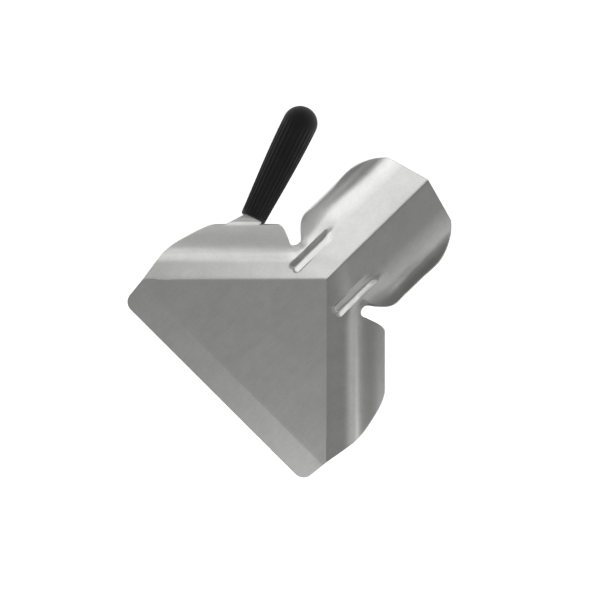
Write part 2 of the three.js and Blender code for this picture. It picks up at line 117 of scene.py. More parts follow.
# crimps: a ridge with a flat inner and a flat outer side; the sheet beyond it sinks to a shelf
CRIMP_X = 24.3
CRIMP_HALF = 4.6
CRIMP_FRONT = -14.6
CRIMP_REAR = 28.5
CREST_RADIUS = 0.8
CRIMP_FOOT_RADIUS = 0.5
CRIMP_STEP = (-0.9, 0.1)  # the step up lies between these distances from the inner foot
CRIMP_INNER_END = 1.0  # the inner foot reaches this far
CRIMP_OUTER_END = (0.3, -1.0)  # the ridge ends between these distances from the outer foot
CRIMP_NOSE = 1.8  # length of the rounded front end of each side
CRIMP_TAIL = 1.2  # and of the rounded rear end
CRIMP_FADE = (12.0, 3.5)  # length over which the inner and the outer side sink away at the rear
CRIMP_FADE_CHANGE = (-2.0, 1.0)  # from one to the other, by distance from the crest
CRIMP_EVEN = (-12.0, 8.0)  # the next three change between these values of Y
CRIMP_RISER = (1.6, 0.3)  # step up to the inner side
CRIMP_INNER_SLOPE = (0.30, 0.26)  # against the sheet beside the crimp
CRIMP_OUTER_SLOPE = (0.76, 0.90)
SHELF_END = 22.0  # distance from the ridge at which the shelf has come back up
SHELF_Y = (-18.0, -2.0, 14.0, 38.0)

GRIP_ROOT = (-75.4, -8.0)
GRIP_TURN = math.radians(18.3)
GRIP_DROOP = math.radians(9)
GRIP_LENGTH = 97.0
GRIP_ROOT_RADIUS = 10.0
GRIP_END_RADIUS = 13.58
GRIP_FLAT = 0.9
GRIP_SWELL = 1.2  # how late the radius grows
ROOT_FILLET = 1.5
FLUTES = 24
FLUTE_DEPTH = 0.55
FLUTE_START = (0.6, 4.5)  # the flutes deepen between these distances from the mouth
FLUTE_END = 82.0
FLUTE_SCOOP = 9.0  # length of a flute's rounded end
SOCKET_DEPTH = 10.0
SOCKET_HALF = (7.9, 4.3)
SOCKET_CORNER = 3.0
MOUTH_LIP = (1.03, 1.05)  # how much wider and higher the mouth is at its lip
MOUTH_LIP_DEPTH = 0.35
SOCKET_FLOOR = (0.97, 0.94)  # the same for the socket's floor
SOCKET_FLOOR_ROUND = 0.6
SLOT_GAP = 0.3
SLOT_CORNER = 0.25
TANG_RISE = 3.2
TANG_BASE = (25.9, 7.5)
TANG_ROOT_HALF = 7.4
TANG_IN = 8.0
TANG_TONGUE = [[30, 7.0], [50, 6.4], [58, 5.8]]
TANG_LENGTH = 58.0
TANG_BULGE = 2.4
BEND_FRONT = (-1.5, 2.5)  # the bend at the rim sets in between these distances from the tang's front
BEND_REAR = (-2.5, 1.5)  # and ends between these distances from its rear
BEND_SHIFT = (0.6, 1.2)  # how far both lie further back per millimetre off the rim
BEND_AMOUNT = 0.95
SCREW_AT = 34.0
SCREW_RADIUS = 1.8
SCREW_HEAD_RADIUS = 3.4
SCREW_HEAD_HEIGHT = 2.2
SCREW_SINK = 1.6
SCREW_TIP = 6.0
SCREW_TIP_TAPER = 0.45
HEAD_ROUND = 0.9
HEAD_STEPS = 8
HEAD_EDGE = 0.15
RECESS_RADIUS = 1.3
RECESS_DEPTH = 1.0
RECESS_CORNER = (0.9, 0.85)  # share of the radius, and depth, of the recess's corner
RECESS_RIM = 0.18
THREAD_PITCH = 0.6
THREAD_DEPTH = 0.3
THREAD_FLANK = 0.25
THREAD_TO_TIP = 0.7
HOLE_FLARE = 1.1  # the hole's mouth is this much wider than the screw's head
HOLE_FLARE_Y = (-0.4, 0.5)  # and narrows between these heights above the grip's skin
HOLE_START = 3.0  # the cutter starts this far below the skin
HOLE_PAST_TIP = 0.6

# tables and mesh density
WALL_TABLE_END = 75.0
WALL_TABLE_STEPS = 3000
CHUTE_TABLE_STEPS = 6000
FLOOR_COLUMNS = 28
NEAR_COLUMNS = 22
CRIMP_COLUMNS = 30
FAR_COLUMNS = 34
WALL_COLUMNS = NEAR_COLUMNS + CRIMP_COLUMNS + FAR_COLUMNS
CRIMP_REACH = 6.0  # the close columns reach this far to both sides of the crimp's ridge
NEAR_LEAST = 0.12  # least share of a line between the fold and the close columns
CRIMP_MOST = 0.65  # largest share of what is left that the close columns take
FLOOR_BIAS = 0.8  # how far the floor's columns are drawn together at the side fold
NEAR_BIAS = 0.7  # and the wall's first columns
TANG_COLUMNS = 30
TANG_ROWS = 30
TANG_ROW_BIAS = 0.45  # how far the tang's rows are drawn together at the rim
LINE_SPACING = 1.5
THROAT_SPACING = LINE_SPACING * 0.35
CHUTE_SPACING = LINE_SPACING * 0.6
CORNER_STEPS = 10
RIM_STATIONS = (4, 8)  # lines along the rim in front of the tang and behind it
# Y of the lines between the rounded corner and the end of the fold
LIP_ROWS = [-114.4, -112.2, -110.2, -108.6, -107.4, -106.6, -106.1, -105.7, -105.4, -105.1, -104.7,
            -104.2, -103.4, -102.4]


MERGE_STEPS = 2000  # per millimetre: grid points that fall together become one
GRIP_SIDES = 240
GRIP_MOUTH_RINGS = [0, 0.12, 0.3, 0.55, 0.85, 1.2, 1.5, 2.2, 3.2]
GRIP_RINGS = (4.5, 64)  # first and number of the even rings
GRIP_END_RINGS = (0.06, math.pi / 2 - 0.02, 26)  # first and last angle, and number, at the end
SCREW_SIDES = 72
HOLE_SIDES = 64
SEARCH_RADIUS = 40.0  # for the outlines of the mouth and the slot
SEARCH_STEPS = 40


# ---- small helpers ------------------------------------------------------------------------------
def smooth(a, b, x):
    t = np.clip((x - a) / (b - a), 0, 1)
    return t * t * (3 - 2 * t)


def mix(a, b, t):
    return a + (b - a) * t


def soft(d, radius):
    """What rounding adds to max(0, d) at its corner."""
    return 0.5 * (np.sqrt(d * d + radius * radius) - np.abs(d))


# ---- height of the sheet's middle surface -------------------------------------------------------
def wall_table():
    """Height of a side wall at even distances from its fold: the integral of the tilt."""
    d = np.linspace(0, WALL_TABLE_END, WALL_TABLE_STEPS + 1)
    tilt = WALL_TILT + (WALL_STEEP - WALL_TILT) * smooth(WALL_FLAT_TO, WALL_STEEP_AT, d)
    tilt -= (WALL_STEEP - WALL_RIM) * smooth(WALL_STEEP_AT, WALL_RIM_FROM, d)
    slope = np.tan(tilt)
    return d, np.concatenate([[0], np.cumsum(0.5 * (slope[1:] + slope[:-1]) * np.diff(d))])


WALL_D, WALL_Z = wall_table()


def wall_rise(d):
    return np.interp(np.maximum(d, 0), WALL_D, WALL_Z) + math.tan(WALL_TILT) * soft(d, FOLD_RADIUS)


def chute_tables():
    """Distance along the sheet, plan position and height of the chute's section, and its length."""
    bend = (CHUTE_BEND_END - CHUTE_FLAT) / (math.sin(CHUTE_BEND_TILT) - math.sin(CHUTE_TILT))
    turn = (CHUTE_HALF - CHUTE_BEND_END) / (1 - math.sin(CHUTE_BEND_TILT))
    arcs = [
        (CHUTE_FLAT / math.cos(CHUTE_TILT), 0.0, CHUTE_TILT),
        (bend * (CHUTE_BEND_TILT - CHUTE_TILT), 1 / bend, CHUTE_TILT),
        (turn * (math.pi / 2 - CHUTE_BEND_TILT), 1 / turn, CHUTE_BEND_TILT),
        (CURL_RADIUS * (CURL_TILT - math.pi / 2), 1 / CURL_RADIUS, math.pi / 2),
    ]
    total = sum(a[0] for a in arcs)
    s = np.linspace(0, total, CHUTE_TABLE_STEPS + 1)
    tilt = np.zeros_like(s)
    start = 0.0
    for length, curvature, first in arcs:
        here = s >= start - 1e-9
        tilt[here] = first + (s[here] - start) * curvature
        start += length
    ds = s[1] - s[0]
    cos, sin = np.cos(tilt), np.sin(tilt)
    x = np.concatenate([[0], np.cumsum(0.5 * (cos[1:] + cos[:-1]) * ds)])
    z = np.concatenate([[0], np.cumsum(0.5 * (sin[1:] + sin[:-1]) * ds)])
    return s, x, z, total


CHUTE_S, CHUTE_X, CHUTE_Z, CHUTE_LENGTH = chute_tables()
CHUTE_BELOW_CURL = slice(int(np.argmax(CHUTE_X)) + 1)  # up to where the section stands vertical


def chute_at_x(x):
    return np.interp(x, CHUTE_X[CHUTE_BELOW_CURL], CHUTE_Z[CHUTE_BELOW_CURL])


def chute_length_at(x):
    return float(np.interp(x, CHUTE_X[CHUTE_BELOW_CURL], CHUTE_S[CHUTE_BELOW_CURL]))


def chute_share(x, y):
    """0 on the scoop, 1 on the chute; inside the crimp the change follows the side fold."""
    outside = smooth(*BLEND_CHANGE, x)
    past = BLEND_BACK * np.maximum(0, x - BLEND_HALF)
    start, end = (
        mix(inside - BLEND_FORWARD * x, straight, outside) + past
        for inside, straight in zip(BLEND_INSIDE, BLEND_OUTSIDE)
    )
    return smooth(start, end, y)


def ramp(u, radius):
    """0 for u < 0 and u for u > 0, rounded between."""
    return 0.5 * (u + np.sqrt(u * u + radius * radius))


def crimp(x, y):
    """A pressed ridge that gathers the sheet: two flat sides with round feet."""
    u = x - CRIMP_X
    back = smooth(*CRIMP_EVEN, y)
    settings = (CRIMP_RISER, CRIMP_INNER_SLOPE, CRIMP_OUTER_SLOPE)
    riser, up, down = (mix(*pair, back) for pair in settings)
    step = smooth(CRIMP_STEP[0] - CRIMP_HALF, CRIMP_STEP[1] - CRIMP_HALF, u)
    inner = riser * step + up * ramp(u + CRIMP_HALF, CRIMP_FOOT_RADIUS)
    outer = (up + down) * ramp(u, CREST_RADIUS)
    foot = riser + (up - down) * CRIMP_HALF
    sink = foot * smooth(0, CRIMP_HALF, u)
    ridge = np.where(u < 0, inner - outer, np.maximum(inner - outer, foot) - sink)
    ridge = ridge * smooth(CRIMP_HALF + CRIMP_OUTER_END[0], CRIMP_HALF + CRIMP_OUTER_END[1], u)
    ridge = ridge * (u > -CRIMP_HALF - CRIMP_INNER_END)
    half = CRIMP_HALF / 2
    bow = 1 - np.sqrt(np.clip(1 - ((np.abs(u) - half) / half) ** 2, 0, 1))
    front = smooth(0, CRIMP_NOSE, y - CRIMP_FRONT - CRIMP_NOSE * bow)
    fade = mix(*CRIMP_FADE, smooth(*CRIMP_FADE_CHANGE, u))
    rear = smooth(0, 1, (CRIMP_REAR - CRIMP_TAIL * bow - y) / fade)
    shelf = sink * smooth(SHELF_END, CRIMP_HALF, u)
    shelf = shelf * smooth(SHELF_Y[0], SHELF_Y[1], y) * smooth(SHELF_Y[3], SHELF_Y[2], y)
    return ridge * front * rear + shelf


def sheet_height(x, y, chute):
    q = LIP_FOLD_Y - y
    lip = math.tan(LIP_DROP) * (np.maximum(0, q) + soft(q, FOLD_RADIUS))
    scoop = wall_rise((x + y) / math.sqrt(2)) - lip
    spine = 2 * math.tan(CHUTE_TILT) * soft(x, SPINE_RADIUS)
    return SHEET / 2 + mix(scoop, chute + spine, chute_share(x, y)) + crimp(x, y)


def scoop_points(x, y):
    chute = np.where(x < CHUTE_HALF, chute_at_x(x) + SPINE_SLOPE * y, 0)
    return np.stack([x, y, sheet_height(x, y, chute)], -1)


def chute_points(s, y):
    x = np.interp(s, CHUTE_S, CHUTE_X)
    z = np.interp(s, CHUTE_S, CHUTE_Z)
    return np.stack([x, y, sheet_height(x, y, z + SPINE_SLOPE * y)], -1)


# ---- grid lines of one half ---------------------------------------------------------------------
def spread(count, bias):
    """0 to 1, closer together at the start."""
    u = np.linspace(0, 1, count + 1)
    return u * (1 - bias + bias * u)


# shares of a line from the centre plane to the side fold
FLOOR_T = 1 - spread(FLOOR_COLUMNS, FLOOR_BIAS)[::-1]


def wall_shares(first, last):
    """Shares of a line from fold to edge, with close columns between first and last."""
    near = spread(NEAR_COLUMNS, NEAR_BIAS)[1:] * first
    crimped = mix(first, last, np.linspace(0, 1, CRIMP_COLUMNS + 1)[1:])
    return np.concatenate([near, crimped, mix(last, 1, np.linspace(0, 1, FAR_COLUMNS + 1)[1:])])


def scoop_line(edge_x, edge_y, fold):
    width = edge_x + fold
    first = max(CRIMP_X - CRIMP_REACH + fold, NEAR_LEAST * width)
    last = first + min(2 * CRIMP_REACH, CRIMP_MOST * (width - first))
    share = wall_shares(first / width, last / width)
    x = np.concatenate([-fold * FLOOR_T, mix(-fold, edge_x, share)])
    y = np.concatenate([np.full(FLOOR_COLUMNS + 1, fold), mix(fold, edge_y, share)])
    return scoop_points(x, y)


def lip_line(edge_x, y):
    x = np.concatenate([edge_x * FLOOR_T, np.full(WALL_COLUMNS, edge_x)])
    return scoop_points(x, np.full_like(x, y))


def chute_line(edge_length, edge_y, spine_y):
    first, last = (chute_length_at(CRIMP_X + side * CRIMP_REACH) for side in (-1, 1))
    share = wall_shares(first / edge_length, last / edge_length)
    s = np.concatenate([np.zeros(FLOOR_COLUMNS + 1), edge_length * share])
    y = np.concatenate([np.full(FLOOR_COLUMNS + 1, spine_y), mix(spine_y, edge_y, share)])
    return chute_points(s, y)


def foot(x, y):
    """Y of the point of the side fold that is nearest to (x, y)."""
    return (y - x) / 2


def curve(controls, spacing, lead=None, follow=None):
    """A smooth curve through the first two values of each control; the third value runs straight."""
    p = np.array(controls, float)
    h = np.hypot(*np.diff(p[:, :2], axis=0).T)
    slope = np.diff(p[:, :2], axis=0) / h[:, None]
    tangent = np.zeros_like(p[:, :2])
    tangent[1:-1] = (slope[:-1] * h[1:, None] + slope[1:] * h[:-1, None]) / (h[1:] + h[:-1])[:, None]
    tangent[0] = slope[0] if lead is None else lead
    tangent[-1] = slope[-1] if follow is None else follow
    made = []
    for i in range(len(p) - 1):
        steps = max(1, math.ceil(max(h[i], abs(p[i + 1, 2] - p[i, 2])) / spacing))
        for k in range(steps):
            t = k / steps
            point = (
                (2 * t**3 - 3 * t**2 + 1) * p[i, :2]
                + (t**3 - 2 * t**2 + t) * h[i] * tangent[i]
                + (3 * t**2 - 2 * t**3) * p[i + 1, :2]
                + (t**3 - t**2) * h[i] * tangent[i + 1]
            )
            made.append((point[0], point[1], mix(p[i, 2], p[i + 1, 2], t)))
    made.append(tuple(p[-1]))
    return made


RIM_DIRECTION = np.array([-1, 1]) / math.sqrt(2)
FRONT_DIRECTION = np.array([1.6, 14.4]) / math.hypot(1.6, 14.4)  # of the edge at the fold's end


def half_sheet_lines():
    """Returns the lines of one half, and which of them is the first of the tang's base."""
    lines = []
    for i in range(CORNER_STEPS + 1):
        angle = math.pi / 2 * i / CORNER_STEPS
        y = LEAD_Y + LEAD_RADIUS * (1 - math.cos(angle))
        lines.append(lip_line(LEAD_HALF + LEAD_RADIUS * math.sin(angle), y))
    corner_y = LEAD_Y + LEAD_RADIUS
    for y in LIP_ROWS + [-FOLD_END]:
        t = (y - corner_y) / (-FOLD_END - corner_y)
        lines.append(lip_line(mix(LEAD_HALF + LEAD_RADIUS, FOLD_END, t), y))
    front = [[FOLD_END, -FOLD_END]] + FRONT_EDGE + [[RIM_SUM + RIM_FRONT, -RIM_FRONT]]
    front = [[x, y, foot(x, y)] for x, y in front]
    for x, y, _ in curve(front, LINE_SPACING, FRONT_DIRECTION, RIM_DIRECTION)[1:-1]:
        lines.append(scoop_line(x, y, foot(x, y)))
    stations = list(np.linspace(-RIM_FRONT, -TANG_BASE[0], RIM_STATIONS[0] + 1)[:-1])
    first = len(lines) + len(stations)
    stations += list(np.linspace(-TANG_BASE[0], -TANG_BASE[1], TANG_COLUMNS + 1))
    stations += list(np.linspace(-TANG_BASE[1], RIM_REAR, RIM_STATIONS[1] + 1)[1:])
    for y in stations:
        lines.append(scoop_line(RIM_SUM - y, y, foot(RIM_SUM - y, y)))
    start = [RIM_SUM - RIM_REAR, RIM_REAR]
    throat = [[*start, foot(*start)]] + THROAT_EDGE + [[*THROAT_MEET, 0]]
    for x, y, fold in curve(throat, THROAT_SPACING, RIM_DIRECTION)[1:]:
        lines.append(scoop_line(x, y, fold))
    chute = [[chute_length_at(THROAT_MEET[0]), THROAT_MEET[1], 0]]
    chute += [[share * CHUTE_LENGTH, y, spine] for share, y, spine in CHUTE_EDGE]
    chute += [[chute_length_at(MOUTH_CORNER[0]), MOUTH_CORNER[1], TIP_Y]]
    for length, y, spine in curve(chute, CHUTE_SPACING)[1:]:
        lines.append(chute_line(min(length, CHUTE_LENGTH), y, spine))
    return lines, first


# ---- the grip's own frame and the tang ----------------------------------------------------------
RIM_RISE = float(np.interp(RIM_SUM / math.sqrt(2), WALL_D, WALL_Z)) + SHEET / 2
AXIS = Vector((
    -math.sin(GRIP_TURN) * math.cos(GRIP_DROOP),
    math.cos(GRIP_TURN) * math.cos(GRIP_DROOP),
    -math.sin(GRIP_DROOP),
))
SIDE = Vector((-math.cos(GRIP_TURN), -math.sin(GRIP_TURN), 0))
GRIP_AXES = np.array([SIDE, AXIS.cross(SIDE), AXIS])  # rows: the grip's X, Y and Z
GRIP_ORIGIN = np.array(Vector((*GRIP_ROOT, RIM_RISE + TANG_RISE)))


def from_grip(points):
    return np.asarray(points) @ GRIP_AXES + GRIP_ORIGIN


def to_grip(points):
    return (np.asarray(points) - GRIP_ORIGIN) @ GRIP_AXES.T


def tang_rows(base):
    """base: the rim points that the tang leaves, from front to rear."""
    start = to_grip(base)
    half = np.linspace(TANG_ROOT_HALF, -TANG_ROOT_HALF, len(base))
    rows = []
    for r in range(TANG_ROWS + 1):
        t = r / TANG_ROWS
        t = t * (1 - TANG_ROW_BIAS + TANG_ROW_BIAS * t)
        z = start[:, 2] + (TANG_IN - start[:, 2]) * t
        side = mix(start[:, 0], half, np.minimum(1, (z - start[:, 2]) / -start[:, 2]))
        rise = start[:, 1] * (2 * t**3 - 3 * t**2 + 1 - TANG_BULGE * (t**3 - 2 * t**2 + t))
        rows.append(from_grip(np.stack([side, rise, z], -1)))
    for depth, width in TANG_TONGUE:
        side = np.linspace(width, -width, len(base))
        rows.append(from_grip(np.stack([side, 0 * side, 0 * side + depth], -1)))
    return rows


# ---- sheet builder ------------------------------------------------------------------------------
class Surface:
    def __init__(self):
        self.points = []
        self.quads = []
        self.index = {}

    def vertex(self, point):
        key = tuple(np.round(point * MERGE_STEPS).astype(int))
        if key not in self.index:
            self.index[key] = len(self.points)
            self.points.append(point)
        return self.index[key]

    def grid(self, lines, flipped):
        ids = [[self.vertex(p) for p in line] for line in lines]
        for r in range(len(ids) - 1):
            for c in range(len(ids[r]) - 1):
                face = [ids[r][c], ids[r][c + 1], ids[r + 1][c + 1], ids[r + 1][c]]
                if flipped:
                    face.reverse()
                face = [v for i, v in enumerate(face) if v != face[i - 1]]
                if len(set(face)) == len(face) and len(face) > 2:
                    self.quads.append(face)

    def solid(self, thickness, chamfer):
        """Returns points, faces and how many of the faces are the two broad sides."""
        points = np.array(self.points)
        normal = np.zeros_like(points)
        directed = {}  # edges in the direction in which their faces run
        for face in self.quads:
            a, b, c = points[face[0]], points[face[1]], points[face[2]]
            n = np.cross(b - a, c - a)
            if len(face) == 4:
                n = n + np.cross(c - a, points[face[3]] - a)
            normal[face] += n
            for i, v in enumerate(face):
                directed[(v, face[(i + 1) % len(face)])] = True
        normal /= np.linalg.norm(normal, axis=1)[:, None]
        border = [(i, j) for i, j in directed if (j, i) not in directed]
        outward = np.zeros_like(points)
        for i, j in border:
            o = np.cross(points[j] - points[i], normal[i] + normal[j])
            o /= np.linalg.norm(o)
            outward[i] += o
            outward[j] += o
        size = np.linalg.norm(outward, axis=1)
        on_border = np.flatnonzero(size > 0)
        outward[on_border] /= size[on_border][:, None]
        slot_of = {int(v): k for k, v in enumerate(on_border)}
        n = len(points)
        m = len(on_border)
        inner = points - outward * chamfer
        top = inner + normal * thickness / 2
        low = inner - normal * thickness / 2
        edge = points[on_border]
        lift = normal[on_border] * (thickness / 2 - chamfer)
        everything = np.concatenate([top, low, edge + lift, edge - lift])
        faces = [list(f) for f in self.quads]
        faces += [[v + n for v in reversed(f)] for f in self.quads]
        broad = len(faces)
        for i, j in border:
            ui, uj = 2 * n + slot_of[i], 2 * n + slot_of[j]
            faces.append([j, i, ui, uj])
            faces.append([uj, ui, ui + m, uj + m])
            faces.append([uj + m, ui + m, i + n, j + n])
        return everything, faces, broad


def make_object(name, points_mm, faces, materials, sharp=40, material_index=None):
    """Points are in millimetres from the apex."""
    placed = (np.asarray(points_mm) + [0, APEX_Y, 0]) * MM
    mesh = bpy.data.meshes.new(name)
    mesh.from_pydata(placed.tolist(), [], faces)
    mesh.validate()
    for material in materials:
        mesh.materials.append(material)
    if material_index is not None:
        mesh.polygons.foreach_set("material_index", material_index)
    mesh.update()
    mesh.shade_smooth()
    mesh.set_sharp_from_angle(angle=math.radians(sharp))
    if material_index is not None:
        soften_broad_sides(mesh, material_index)
    obj = bpy.data.objects.new(name, mesh)
    bpy.context.scene.collection.objects.link(obj)
    return obj


def soften_broad_sides(mesh, material_index):
    """Keeps sharp edges only where a broad side meets a cut edge."""
    of_edge = np.zeros(len(mesh.edges), int)
    loop_edge = np.zeros(len(mesh.loops), int)
    loop_total = np.zeros(len(mesh.polygons), int)
    mesh.loops.foreach_get("edge_index", loop_edge)
    mesh.polygons.foreach_get("loop_total", loop_total)
    np.maximum.at(of_edge, loop_edge, np.repeat(material_index, loop_total))
    sharp = np.zeros(len(mesh.edges), bool)
    mesh.edges.foreach_get("use_edge_sharp", sharp)
    mesh.edges.foreach_set("use_edge_sharp", sharp & (of_edge > 0))


# ---- materials ----------------------------------------------------------------------------------
class Nodes:
    """A short way to write the nodes of the sky or, below, of a material."""

    def __init__(self, owner, output):
        owner.use_nodes = True
        self.tree = owner.node_tree
        self.tree.nodes.clear()
        self.out = self.add(output)
        self.coordinates = self.add("ShaderNodeTexCoord").outputs

    def add(self, kind, **settings):
        node = self.tree.nodes.new(kind)
        for key, value in settings.items():
            setattr(node, key, value)
        return node

    def link(self, a, b):
        self.tree.links.new(a, b)

    def stretched(self, scale, rotation=(0, 0, 0)):
        node = self.add("ShaderNodeMapping")
        node.inputs["Scale"].default_value = scale
        node.inputs["Rotation"].default_value = rotation
        self.link(self.coordinates["Object"], node.inputs["Vector"])
        return node.outputs[0]

    def noise(self, scale, detail, roughness, vector=None):
        node = self.add("ShaderNodeTexNoise")
        node.inputs["Scale"].default_value = scale
        node.inputs["Detail"].default_value = detail
        node.inputs["Roughness"].default_value = roughness
        self.link(vector or self.coordinates["Object"], node.inputs["Vector"])
        return node.outputs["Fac"]

    def remap(self, value, low, high, to_low, to_high):
        node = self.add("ShaderNodeMapRange")
        node.inputs["From Min"].default_value = low
        node.inputs["From Max"].default_value = high
        node.inputs["To Min"].default_value = to_low
        node.inputs["To Max"].default_value = to_high
        self.link(value, node.inputs["Value"])
        return node.outputs[0]

    def math(self, operation, a, b):
        node = self.add("ShaderNodeMath", operation=operation)
        for socket, value in zip(node.inputs, (a, b)):
            if isinstance(value, (int, float)):
                socket.default_value = value
            else:
                self.link(value, socket)
        return node.outputs[0]

    def weighted(self, first, *rest):
        """The sum of values, each given with its weight."""
        total = self.math("MULTIPLY", *first)
        for value, weight in rest:
            total = self.math("ADD", total, self.math("MULTIPLY", value, weight))
        return total

    def colour(self, value, low, high):
        node = self.add("ShaderNodeMix", data_type="RGBA")
        node.inputs["A"].default_value = (*low, 1)
        node.inputs["B"].default_value = (*high, 1)
        self.link(value, node.inputs["Factor"])
        return node.outputs["Result"]

    def bump(self, height, strength, distance, normal=None):
        node = self.add("ShaderNodeBump")
        node.inputs["Strength"].default_value = strength
        node.inputs["Distance"].default_value = distance
        self.link(height, node.inputs["Height"])
        if normal is not None:
            self.link(normal, node.inputs["Normal"])
        return node.outputs[0]


    def dot(self, vector):
        """Cosine of the angle between the direction seen and vector."""
        node = self.add("ShaderNodeVectorMath", operation="DOT_PRODUCT")
        node.inputs[1].default_value = vector
        self.link(self.coordinates["Generated"], node.inputs[0])
        return node.outputs["Value"]

    def along(self, value, stops):
        """A curve through stops, read at value."""
        node = self.add("ShaderNodeFloatCurve")
        points = node.mapping.curves[0].points
        for i, stop in enumerate(stops):
            if i < 2:
                points[i].location = stop
            else:
                points.new(*stop)
        node.mapping.use_clip = False
        node.mapping.update()
        self.link(value, node.inputs["Value"])
        return node.outputs[0]


class MaterialNodes(Nodes):
    def __init__(self, name):
        self.material = bpy.data.materials.new(name)
        super().__init__(self.material, "ShaderNodeOutputMaterial")
        self.shader = self.add("ShaderNodeBsdfPrincipled")
        self.link(self.shader.outputs[0], self.out.inputs[0])


STEEL_DARK = (0.91, 0.91, 0.90)  # times the steel's brightness
STEEL_PALE = (1.075, 1.075, 1.06)
STEEL_WEAR = 0.016  # how far the roughness varies
PLASTIC_DARK = (0.0135, 0.0135, 0.0138)
PLASTIC_PALE = (0.0195, 0.0195, 0.0198)
PLASTIC_ROUGHNESS = (0.46, 0.58)


def steel(name, light, rough, grain=1.0):
    """Metal with clouds, patches and fine specks, and a faint grain along Y."""
    n = MaterialNodes(name)
    n.shader.inputs["Metallic"].default_value = 1.0
    cloud = n.noise(30, 4, 0.6)
    speck = n.noise(900, 2, 0.6)
    fine = n.noise(420, 3, 0.7, n.stretched((1, 0.12, 1), (0, 0, math.radians(45))))
    patch = n.noise(110, 3, 0.55)
    tone = n.weighted((cloud, 0.25), (fine, 0.2), (patch, 0.2), (speck, 0.35))
    tone = n.remap(tone, 0.38, 0.62, 0, 1)
    dark, pale = (tuple(v * light for v in colour) for colour in (STEEL_DARK, STEEL_PALE))
    n.link(n.colour(tone, dark, pale), n.shader.inputs["Base Color"])
    wear = n.weighted((cloud, 0.6), (speck, 0.4))
    wear = n.remap(wear, 0.3, 0.7, rough - STEEL_WEAR, rough + STEEL_WEAR)
    n.link(wear, n.shader.inputs["Roughness"])
    grain_bump = n.bump(fine, 0.035 * grain, 0.0002)
    speck_bump = n.bump(speck, 0.04 * grain, 0.0002, grain_bump)
    n.link(speck_bump, n.shader.inputs["Normal"])
    return n.material


def plastic(name):
    n = MaterialNodes(name)
    cloud = n.remap(n.noise(55, 3, 0.6), 0.3, 0.7, 0, 1)
    n.link(n.colour(cloud, PLASTIC_DARK, PLASTIC_PALE), n.shader.inputs["Base Color"])
    rub = n.noise(140, 4, 0.65, n.stretched((1, 1, 0.35)))
    n.link(n.remap(rub, 0.3, 0.7, *PLASTIC_ROUGHNESS), n.shader.inputs["Roughness"])
    n.shader.inputs["Specular IOR Level"].default_value = 0.2
    grit = n.noise(1500, 2, 0.6)
    n.link(n.bump(grit, 0.25, 0.0003), n.shader.inputs["Normal"])
    return n.material


STEEL = steel("satin_steel", 0.62, 0.298)
CUT_STEEL = steel("cut_steel", 0.70, 0.34, 1.6)
SCREW_STEEL = steel("screw_steel", 0.66, 0.24, 1.4)
BLACK = plastic("black_plastic")


# ---- the sheet ----------------------------------------------------------------------------------
def bend_tang(points):
    """Rounds the corner where the tang leaves the left rim."""
    x, y = points[..., 0], points[..., 1]
    d = (-x + y - RIM_SUM) / math.sqrt(2)
    off = np.maximum(0, d)
    front, rear = (smooth(pair[0] - base, pair[1] - base, y - shift * off)
                   for pair, base, shift in zip((BEND_FRONT, BEND_REAR), TANG_BASE, BEND_SHIFT))
    moved = points.copy()
    moved[..., 2] -= BEND_AMOUNT * soft(d, TANG_BEND_RADIUS) * front * (1 - rear) * (x < 0)
    return moved


def scoop_sheet():
    surface = Surface()
    lines, first = half_sheet_lines()
    mirrored = [line * np.array([-1, 1, 1]) for line in lines]
    base = np.array([line[-1] for line in mirrored[first : first + TANG_COLUMNS + 1]])
    tang = tang_rows(base)
    surface.grid(lines, False)
    surface.grid([bend_tang(line) for line in mirrored], True)
    surface.grid([bend_tang(row) for row in tang], False)
    points, faces, broad = surface.solid(SHEET, EDGE_CHAMFER)
    # the finer sheet would pass the CAD's box at its highest point
    corners = [np.array(corner) / MM - [0, APEX_Y, 0] for corner in (cad_low, cad_high)]
    points = np.clip(points, *corners)
    which = np.zeros(len(faces), int)
    which[broad:] = 1
    return make_object("steel_sheet", points, faces, [STEEL, CUT_STEEL], sharp=38, material_index=which)


# ---- the grip -----------------------------------------------------------------------------------
def grip_radius(z):
    end = GRIP_LENGTH - GRIP_END_RADIUS
    if z > end:
        return math.sqrt(max(0, GRIP_END_RADIUS**2 - (z - end) ** 2))
    radius = mix(GRIP_ROOT_RADIUS, GRIP_END_RADIUS, math.sin(math.pi / 2 * z / end) ** GRIP_SWELL)
    if z < ROOT_FILLET:
        radius += math.sqrt(ROOT_FILLET**2 - (ROOT_FILLET - z) ** 2) - ROOT_FILLET
    return radius


def rounded_box(angle, half, corner):
    """The point of a rounded rectangle in the direction of angle."""
    wide, high = half[0] - corner, half[1] - corner
    c, s = math.cos(angle), math.sin(angle)
    near, far = 0.0, SEARCH_RADIUS
    for _ in range(SEARCH_STEPS):
        r = (near + far) / 2
        x, y = abs(r * c), abs(r * s)
        outside = math.hypot(max(0, x - wide), max(0, y - high)) > corner
        if outside:
            far = r
        else:
            near = r
    return near * c, near * s


def flute_cut(angle, z):
    """How deep the flutes cut into the grip."""
    across = 2 * ((angle * FLUTES / (2 * math.pi)) % 1) - 1
    along = max(0.0, (z - (FLUTE_END - FLUTE_SCOOP)) / FLUTE_SCOOP)
    return FLUTE_DEPTH * max(0.0, 1 - across**2 - along**2) * float(smooth(*FLUTE_START, z))


def grip_outside(angles):
    """Rings from the mouth's lip to the rounded end."""
    end = GRIP_LENGTH - GRIP_END_RADIUS
    stops = GRIP_MOUTH_RINGS + list(np.linspace(GRIP_RINGS[0], end, GRIP_RINGS[1]))
    stops += [end + GRIP_END_RADIUS * math.sin(a) for a in np.linspace(*GRIP_END_RINGS)]
    rings = []
    for z in stops:
        radii = [grip_radius(z) - flute_cut(a, z) for a in angles]
        rings.append([(r * math.cos(a), GRIP_FLAT * r * math.sin(a), z) for r, a in zip(radii, angles)])
    return rings


